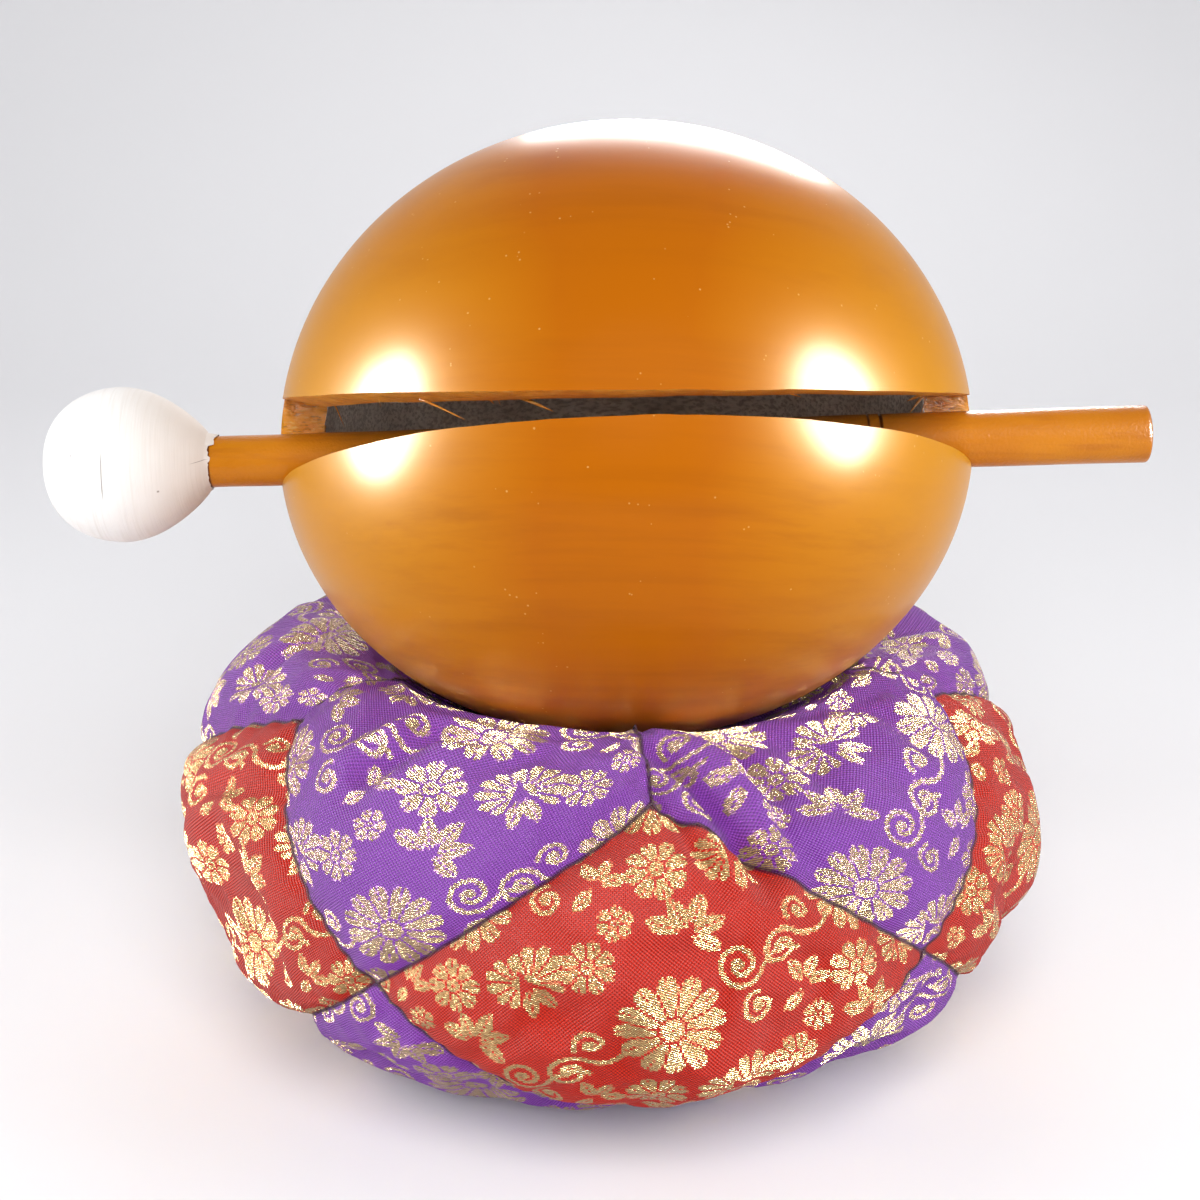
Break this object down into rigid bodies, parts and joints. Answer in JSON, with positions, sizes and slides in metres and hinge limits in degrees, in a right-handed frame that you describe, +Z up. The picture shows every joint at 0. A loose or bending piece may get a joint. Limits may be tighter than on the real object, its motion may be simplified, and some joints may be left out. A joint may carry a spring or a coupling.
{
  "type": "sutra drum",
  "caption": "Plain wooden sutra drum: a hollow slit drum with its mallet laid in the mouth, on a round stuffed patchwork cushion.",
  "frame": {"origin": "centre of the cushion's flat underside", "axes": "+Z up, +X along the mallet to its handle end, -Y the side that the drum's mouth faces"},
  "size_m": [0.2361, 0.197, 0.2022],
  "materials": {
    "drum_lacquer": "amber lacquer, high gloss",
    "drum_inside": "raw chiselled wood, dark, matt",
    "raw_edge": "torn and chiselled edge, satin",
    "handle_lacquer": "amber lacquer, satin gloss",
    "bare_wood": "whitened turned wood, matt",
    "brocade_purple": "violet brocade with gold thread flowers",
    "brocade_red": "red brocade with gold thread flowers",
    "seam_thread": "dark seam, matt"
  },
  "bodies": {
    "root": {"drum_body": "drum_lacquer", "mallet_handle": "handle_lacquer", "mallet_head": "bare_wood", "cushion": "brocade_purple"}
  },
  "joints": []
}
